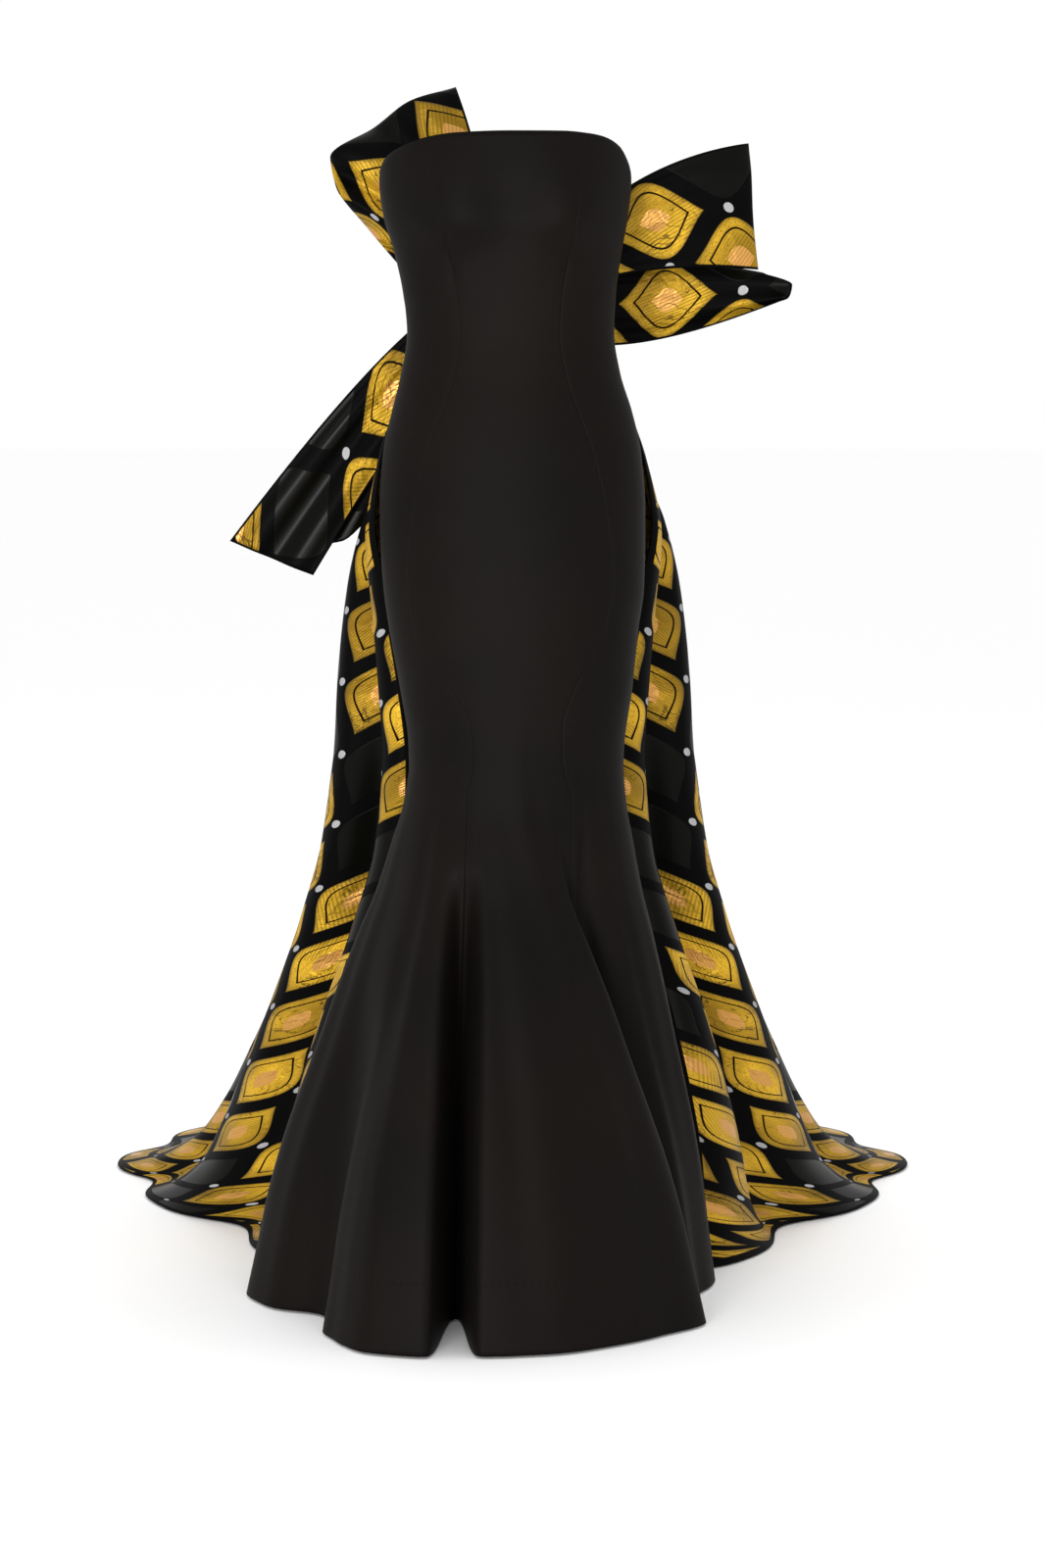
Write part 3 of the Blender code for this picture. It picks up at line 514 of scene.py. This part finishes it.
def train_row(folds, size):
    """One level of the train's inner face, for numbers of folds from the middle of the back."""
    quarter = np.linspace(0, math.pi / 2, SECTION_SAMPLES // 2)
    back = np.stack([size["side_x"] * np.sin(quarter),
                     size["side_y"] + (size["back_y"] - size["side_y"]) * np.cos(quarter)], axis=-1)
    ahead = np.linspace(0, 1, SECTION_SAMPLES // 2)[1:]
    side = np.stack([size["side_x"] - (size["side_x"] - size["edge_x"]) * ahead ** SIDE_BEND,
                     size["side_y"] - (size["side_y"] - size["edge_y"]) * ahead], axis=-1)
    line = np.concatenate([back, side])
    share = arc(line, 0)
    share = share / share[-1]
    side = np.where(folds < 0, -1.0, 1.0)
    crests = column(TRAIN_FOLDS, TRAIN_FOLD_COLUMNS, "place")
    at = np.interp(np.abs(folds), np.append(np.arange(len(crests)), LAST_FOLD), np.append(crests, 1.0))
    loose = np.stack([np.interp(at, share, line[:, k]) for k in (0, 1)], axis=-1)
    ahead = np.stack([np.interp(at + 0.02, share, line[:, k]) for k in (0, 1)], axis=-1)
    behind = np.stack([np.interp(at - 0.02, share, line[:, k]) for k in (0, 1)], axis=-1)
    along = unit(ahead - behind)
    out = np.stack([-along[:, 1], along[:, 0]], axis=-1)
    depth = np.interp(at, crests, column(TRAIN_FOLDS, TRAIN_FOLD_COLUMNS, "depth")) * size["fold"]
    # The cloth hangs in round lobes, and the valleys between them are narrower and deeper
    wave = depth * (np.cos(2 * np.pi * folds) - VALLEY_SHARE * size["free"] * np.cos(4 * np.pi * folds))
    loose = loose + out * wave[:, None]
    loose[:, 0] = side * loose[:, 0] + size["right_extra"] * np.clip(2 * at, 0, 1) * (side > 0)
    if size["free"] < 1:
        angle = side * (180 - TRAIN_SWEEP * at)
        seat = gown_point(angle, np.full_like(angle, size["height"]))[:, :2]
        seated = seat + (ON_PANEL + depth + wave)[:, None] * unit(seat)
        loose = seated + size["free"] * (loose - seated)
    return np.concatenate([loose, np.full((len(loose), 1), size["height"] - WAIST_HEIGHT)], axis=-1)


OGEE_WIDTH = 0.120
OGEE_LENGTH = 0.180
GROUND_HALF_WIDTH = 0.011
# Distances in from an ogee's edge
INNER_LINE = 0.012
INNER_LINE_WIDTH = 0.003
CENTRE_FIGURE = 0.034
SPOT_RADIUS = 0.006
SOFT_EDGE = 0.0008
GOLD_BELOW = 0.7
BINDING = 0.009
RIB_SPACING = 0.0040


def gold_brocade():
    """Jacquard brocade: ogees in ribbed gold lame on black satin, with peach centres and sheer spots."""
    made, tree, output = new_material("black_and_gold_brocade")
    cloth = add_node(tree, "ShaderNodeUVMap", uv_map="cloth").outputs["UV"]

    def calc(operation, *values):
        return add_node(tree, "ShaderNodeMath", dict(enumerate(values)), operation=operation).outputs[0]

    def step(value, low, high):
        return add_node(tree, "ShaderNodeMapRange", {"Value": value, "From Min": low, "From Max": high},
                        interpolation_type="SMOOTHSTEP").outputs[0]

    def blend(share, first, second):
        return add_node(tree, "ShaderNodeMix", {0: share, 6: first, 7: second}, data_type="RGBA").outputs[2]

    def noise(scale, detail=2.0, distortion=0.0):
        return add_node(tree, "ShaderNodeTexNoise", {"Vector": cloth, "Scale": scale, "Detail": detail,
                                                     "Distortion": distortion}).outputs["Fac"]

    # Pointed ogees 120 mm wide and 180 mm long stand in half-drop columns, 22 mm of black satin between them
    parts = add_node(tree, "ShaderNodeSeparateXYZ", {"Vector": cloth}).outputs
    column_place = calc("DIVIDE", parts["X"], OGEE_WIDTH)
    row_place = calc("DIVIDE", parts["Y"], OGEE_LENGTH)
    turn = calc("MULTIPLY", row_place, 2 * math.pi)
    half_width = calc("MULTIPLY_ADD", calc("COSINE", turn), OGEE_WIDTH / 4, OGEE_WIDTH / 4)
    from_column = calc("MULTIPLY", calc("SUBTRACT", column_place, calc("ROUND", column_place)), OGEE_WIDTH)
    depth = calc("SUBTRACT", half_width, calc("ABSOLUTE", from_column))
    slope = calc("MULTIPLY", calc("SINE", turn), math.pi * OGEE_WIDTH / (2 * OGEE_LENGTH))
    steep = calc("SQRT", calc("MULTIPLY_ADD", slope, slope, 1.0))
    inside = calc("SUBTRACT", calc("DIVIDE", calc("ABSOLUTE", depth), steep), GROUND_HALF_WIDTH)
    even = calc("GREATER_THAN", depth, 0.0)

    def number(place):
        nearest = calc("MULTIPLY", calc("ROUND", place), 2.0)
        between = calc("MULTIPLY_ADD", calc("FLOOR", place), 2.0, 1.0)
        return calc("MULTIPLY_ADD", even, calc("SUBTRACT", nearest, between), between)

    # Two ogees in seven are glossy black, in a fixed order
    order = calc("MULTIPLY_ADD", number(column_place), 3 / 7, calc("MULTIPLY", number(row_place), 5 / 7))
    lot = calc("FRACT", calc("ADD", order, 0.05))
    to_edge = add_node(tree, "ShaderNodeAttribute", attribute_name="edge_distance", attribute_type="GEOMETRY")
    bound = step(to_edge.outputs["Fac"], BINDING, BINDING + 0.001)
    patch = calc("MULTIPLY", step(inside, 0.0, 0.0012), bound)
    is_gold = calc("LESS_THAN", lot, GOLD_BELOW)
    line_end = INNER_LINE + INNER_LINE_WIDTH
    line = calc("MULTIPLY", step(inside, INNER_LINE, INNER_LINE + SOFT_EDGE),
                step(inside, line_end, line_end - SOFT_EDGE))
    gold = calc("MULTIPLY", calc("MULTIPLY", patch, is_gold), calc("SUBTRACT", 1.0, line))
    gloss = calc("MULTIPLY", patch, calc("SUBTRACT", 1.0, is_gold))
    centre = calc("MULTIPLY", step(inside, CENTRE_FIGURE, CENTRE_FIGURE + SOFT_EDGE), gold)

    # A round sheer spot lies in the ground at each ogee's points
    def from_half(place, size):
        return calc("MULTIPLY", calc("SUBTRACT", calc("FRACT", place), 0.5), size)

    def spot(first, second):
        return calc("SQRT", calc("MULTIPLY_ADD", first, first, calc("MULTIPLY", second, second)))

    from_row = calc("MULTIPLY", calc("SUBTRACT", row_place, calc("ROUND", row_place)), OGEE_LENGTH)
    tip = calc("MINIMUM", spot(from_column, from_half(row_place, OGEE_LENGTH)),
               spot(from_half(column_place, OGEE_WIDTH), from_row))
    sheer = calc("MULTIPLY", step(tip, SPOT_RADIUS + SOFT_EDGE / 2, SPOT_RADIUS - SOFT_EDGE / 2), bound)

    # Ribs are about 1.2 mm apart, drawn 4 mm apart so that they show, and run another way in each ogee
    turned = add_node(tree, "ShaderNodeVectorRotate", {"Vector": cloth, "Angle": calc("MULTIPLY", lot, 19.0)},
                      rotation_type="Z_AXIS").outputs[0]
    across = add_node(tree, "ShaderNodeSeparateXYZ", {"Vector": turned}).outputs["X"]
    ribs = calc("MULTIPLY_ADD", calc("SINE", calc("MULTIPLY", across, 2 * math.pi / RIB_SPACING)), 0.5, 0.5)
    cloud = noise(16.0)
    ribbed = calc("MULTIPLY", ribs, step(cloud, 0.38, 0.52))

    shade = blend(step(noise(7.0), 0.35, 0.65), linear("#876605"), linear("#cba024"))
    shade = blend(calc("MULTIPLY", ribbed, 0.55), shade, linear("#5e4706"))
    speckle = calc("MULTIPLY", step(noise(420.0, 2.0), 0.56, 0.66), step(cloud, 0.56, 0.44))
    shade = blend(calc("MULTIPLY", speckle, 0.6), shade, linear("#4a3908"))
    # Painted shade: the gold darkens over its last 7 mm towards each ogee's edge, where the raised ogee turns
    # down to the satin
    shade = blend(calc("MULTIPLY", step(inside, 0.007, 0.0), 0.55), shade, linear("#3f3006"))
    # The gold floats pucker: short creases run in loose groups, pressed in and darkened with painted shade
    pucker = calc("ABSOLUTE", calc("SUBTRACT", noise(26.0, 3.0, 1.6), 0.5))
    crease = calc("MULTIPLY", step(pucker, 0.016, 0.002), step(noise(8.0), 0.50, 0.58))
    shade = blend(calc("MULTIPLY", crease, 0.75), shade, linear("#3a2a05"))
    # The centres are woven in a plain ribbed peach lame
    peach = blend(calc("MULTIPLY", ribs, 0.5), linear("#c9944c"), linear("#8f6428"))
    shade = blend(centre, shade, peach)
    colour = blend(gold, linear("#030303"), shade)
    colour = blend(gloss, colour, linear("#040402"))
    colour = blend(sheer, colour, linear("#a9a9ab"))

    # Satin floats of about 0.3 mm are drawn at 1 mm, and the ogees stand 0.3 mm proud of the satin
    lift = calc("MULTIPLY_ADD", patch, 0.0003, calc("MULTIPLY", noise(900.0, 1.0), 0.00005))
    lift = calc("MULTIPLY_ADD", calc("MULTIPLY", ribbed, gold), 0.00022, lift)
    lift = calc("MULTIPLY_ADD", calc("MULTIPLY", noise(38.0, 4.0, 1.0), gold), 0.0042, lift)
    lift = calc("MULTIPLY_ADD", calc("MULTIPLY", crease, gold), -0.0008, lift)
    bump = add_node(tree, "ShaderNodeBump", {"Height": lift, "Strength": 0.9, "Distance": 1.0}).outputs[0]
    metal = calc("MULTIPLY_ADD", centre, 0.20, calc("MULTIPLY", gold, 0.42))
    rough = calc("SUBTRACT", 0.52, calc("MULTIPLY_ADD", gloss, 0.22, calc("MULTIPLY", centre, 0.16)))
    shine = calc("MULTIPLY_ADD", calc("MULTIPLY_ADD", gloss, 0.18, gold), 0.22, 0.03)
    shader = add_node(tree, "ShaderNodeBsdfPrincipled", {
        "Base Color": colour, "Metallic": metal, "Roughness": rough, "Specular IOR Level": shine,
        "Normal": bump})
    clear = add_node(tree, "ShaderNodeBsdfTransparent")
    surface = add_node(tree, "ShaderNodeMixShader", {0: calc("MULTIPLY", sheer, 0.30), 1: shader.outputs[0],
                                                     2: clear.outputs[0]})
    tree.links.new(surface.outputs[0], output.inputs[0])
    return made


brocade = gold_brocade()


def train_gores():
    """All gores, cut at the seams from one open strip of points."""
    lines = {name: round((row[1] - row[0]) * LINES_PER_FOLD) for name, row in GORES.items()}
    folds = np.concatenate([np.linspace(row[0], row[1], lines[name] + 1)[:-1] for name, row in GORES.items()]
                           + [[LAST_FOLD]])
    places = np.arange(len(TRAIN), dtype=float)
    levels = np.linspace(len(TRAIN) - 1, 0, TRAIN_ROWS + 1)
    sizes = {name: smooth(levels, places, column(TRAIN, TRAIN_COLUMNS, name)) for name in TRAIN_COLUMNS}
    points = np.stack([train_row(folds, {name: values[k] for name, values in sizes.items()})
                       for k in range(TRAIN_ROWS + 1)])
    points[:, :, 2] = np.maximum(points[:, :, 2], -WAIST_HEIGHT)
    run, fall = arc(points, 1), arc(points, 0)
    middle = int(np.argmin(np.abs(folds)))
    fall = fall[-1] - fall
    from_middle = np.abs(run - run[:, middle:middle + 1])
    edge = np.minimum(np.minimum(run, run[:, -1:] - run), fall[:1] - fall)
    cloth_map = np.stack([from_middle, fall], axis=-1)
    first = 0
    for name, (start, end, *cut) in GORES.items():
        keep = slice(first, first + lines[name] + 1)
        part = points[:, keep].copy()
        if start > -LAST_FOLD:
            part[:, 0] += 0.5 * SEAM_GAP * unit(part[:, 1] - part[:, 0])
        if end < LAST_FOLD:
            part[:, -1] -= 0.5 * SEAM_GAP * unit(part[:, -1] - part[:, -2])
        facts = {"edge_distance": edge[:, keep]}
        piece = cloth_piece(name + "_cloth", part, cloth_map[:, keep], facts, BROCADE, -1, brocade)
        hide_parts(name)
        first += lines[name]


train_gores()


# The bow. A band is wrapped round the gathers of two puffed loops, a pointed wing and two tails, all in the
# brocade of the train. It is sewn to the middle of the back waist.

FAN_COLUMNS = ("root_x", "root_y", "root_z", "half_x", "half_y", "half_z", "end_x", "end_y", "end_z")
LOOP_RIGHT = (
    (0.021, 0.1056, 1.172, 0.130, 0.124, 1.286, 0.277, 0.136, 1.341),
    (0.021, 0.1056, 1.159, 0.130, 0.125, 1.255, 0.281, 0.142, 1.300),
    (0.021, 0.1056, 1.146, 0.130, 0.126, 1.220, 0.284, 0.146, 1.245),
    (0.021, 0.1056, 1.134, 0.130, 0.127, 1.188, 0.290, 0.148, 1.195),
)
WING_RIGHT = (
    (0.021, 0.1188, 1.164, 0.135, 0.174, 1.205, 0.298, 0.184, 1.192),
    (0.021, 0.1188, 1.155, 0.138, 0.175, 1.178, 0.333, 0.188, 1.178),
    (0.021, 0.1188, 1.146, 0.134, 0.175, 1.142, 0.330, 0.188, 1.164),
    (0.021, 0.1188, 1.138, 0.128, 0.172, 1.107, 0.316, 0.186, 1.158),
)
LOOP_LEFT = (
    (-0.0208, 0.1039, 1.178, -0.032, 0.124, 1.292, -0.064, 0.124, 1.405),
    (-0.0208, 0.1039, 1.170, -0.060, 0.126, 1.286, -0.118, 0.128, 1.388),
    (-0.0208, 0.1039, 1.161, -0.082, 0.128, 1.276, -0.162, 0.132, 1.357),
    (-0.0208, 0.1039, 1.152, -0.104, 0.128, 1.252, -0.210, 0.126, 1.324),
    (-0.0208, 0.1039, 1.144, -0.106, 0.128, 1.230, -0.203, 0.120, 1.290),
    (-0.0208, 0.1039, 1.136, -0.096, 0.128, 1.204, -0.168, 0.120, 1.244),
    (-0.0208, 0.1039, 1.128, -0.080, 0.126, 1.166, -0.132, 0.116, 1.202),
)
TAIL_LEFT = (
    (-0.0130, 0.1108, 1.168, -0.128, 0.162, 1.116, -0.335, 0.172, 0.875),
    (-0.0130, 0.1108, 1.157, -0.122, 0.164, 1.090, -0.302, 0.176, 0.861),
    (-0.0130, 0.1108, 1.146, -0.114, 0.164, 1.062, -0.269, 0.176, 0.847),
    (-0.0130, 0.1108, 1.136, -0.104, 0.162, 1.036, -0.236, 0.172, 0.834),
)
TAIL_UNDER = (
    (-0.0130, 0.1146, 1.161, -0.110, 0.178, 1.050, -0.226, 0.192, 0.870),
    (-0.0130, 0.1146, 1.152, -0.102, 0.179, 1.034, -0.202, 0.194, 0.874),
    (-0.0130, 0.1146, 1.143, -0.090, 0.178, 1.020, -0.166, 0.192, 0.905),
)
GATHER_COLUMNS = ("pleats", "root_depth", "end_depth", "opening", "rows", "lines", "cut_width", "cut_length",
                  "cut_area")
GATHERS = {
    "bow_loop_right": (LOOP_RIGHT, (2.0, 0.0010, 0.0030, 0.022, 150, 60), (0.15, 0.65, 0.057)),
    "bow_loop_left": (LOOP_LEFT, (3.5, 0.0010, 0.0090, 0.018, 130, 110), (0.35, 0.54, 0.076)),
    "bow_wing_right": (WING_RIGHT, (1.5, 0.0008, 0.0040, 0.000, 80, 40), (0.10, 0.33, 0.0245)),
    "bow_tail_left": (TAIL_LEFT, (2.0, 0.0008, 0.0040, 0.000, 100, 40), (0.11, 0.47, 0.035)),
    "bow_tail_under": (TAIL_UNDER, (1.0, 0.0008, 0.0030, 0.000, 80, 24), (0.073, 0.38, 0.0115)),
}
ROOT_OPENING = 0.0090
GATHER_CREASES = 9
GATHER_CREASE_DEPTH = 0.0009
# The bow's binding is narrower than the train's by this much
BINDING_TURNED_IN = 0.007


def fan_point(table, gather, across, travel):
    """A fan's middle surface. Travel runs from -1 to 1 round a loop, or 0 to 1 out along a single layer."""
    pleats, root_depth, end_depth, opening = gather[:4]
    if opening:
        away = np.abs(travel)
        reach = 1 - away ** 1.6
        puff = np.sign(travel) * (opening * 4 * away * (1 - away) + ROOT_OPENING * away ** 2)
    else:
        reach, puff = travel, np.zeros_like(travel)
    places = np.linspace(0, 1, len(table))
    root, half, end = (
        np.stack([smooth(across, places, column(table, FAN_COLUMNS, f"{part}_{axis}")) for axis in "xyz"],
                 axis=-1)
        for part in ("root", "half", "end"))
    out = reach[..., None]
    point = root * (1 - out) * (1 - 2 * out) + half * 4 * out * (1 - out) + end * out * (2 * out - 1)
    wave = (root_depth + (end_depth - root_depth) * reach) * np.cos(2 * np.pi * pleats * across)
    crease = GATHER_CREASE_DEPTH * np.cos(2 * np.pi * GATHER_CREASES * across + 3 * np.sin(5 * across))
    point[..., 1] += puff + wave + crease * np.clip(4 * reach * (1 - reach), 0, 1) * (1 - reach)
    point[..., 2] -= WAIST_HEIGHT
    return point


def fan_piece(name):
    """One loop, wing or tail, with its pleats running out from the knot."""
    table, gather, cut = GATHERS[name]
    opening, rows, lines = gather[3:]
    travel, across = np.meshgrid(np.linspace(-1 if opening else 0, 1, rows + 1),
                                 np.linspace(0, 1, lines + 1), indexing="ij")
    points = fan_point(table, gather, across, travel)
    run, out = arc(points, 1), arc(points, 0)
    edge = np.minimum(run, run[:, -1:] - run)
    if not opening:
        edge = np.minimum(edge, out[-1:] - out)
    cloth_map = np.stack([run - 0.5 * run[:, -1:], out], axis=-1)
    facts = {"edge_distance": edge + BINDING_TURNED_IN}
    piece = cloth_piece(name + "_cloth", points, cloth_map, facts, BROCADE, 0, brocade)
    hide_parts(name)


KNOT_CENTRE = (0.004, 0.1101, 1.153)
KNOT_HALF = (0.024, 0.0170, 0.0460)
KNOT_WALL = 0.0022
KNOT_PLEATS = 3
KNOT_PLEAT_DEPTH = 0.0010
# The band's own edges are turned under, so no binding shows on it
NO_BINDING = 0.05


def knot_band():
    """The band round the gathers, an oval tube with soft pleats."""
    turn, along = np.meshgrid(np.linspace(0, 2 * np.pi, 97), np.linspace(-1, 1, 25), indexing="ij")
    crease = KNOT_WALL + KNOT_PLEAT_DEPTH * (1 + np.cos(KNOT_PLEATS * np.pi * along))
    points = np.stack([KNOT_CENTRE[0] + KNOT_HALF[0] * along,
                       KNOT_CENTRE[1] + (KNOT_HALF[1] + crease) * np.cos(turn),
                       KNOT_CENTRE[2] - WAIST_HEIGHT + (KNOT_HALF[2] + crease) * np.sin(turn)], axis=-1)
    cloth_map = np.stack([arc(points, 1), arc(points, 0)], axis=-1)
    facts = {"edge_distance": np.full(turn.shape, NO_BINDING)}
    piece = cloth_piece("bow_knot_cloth", points, cloth_map, facts, BROCADE, -1, brocade)
    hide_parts("bow_knot")


for fan in GATHERS:
    fan_piece(fan)
knot_band()
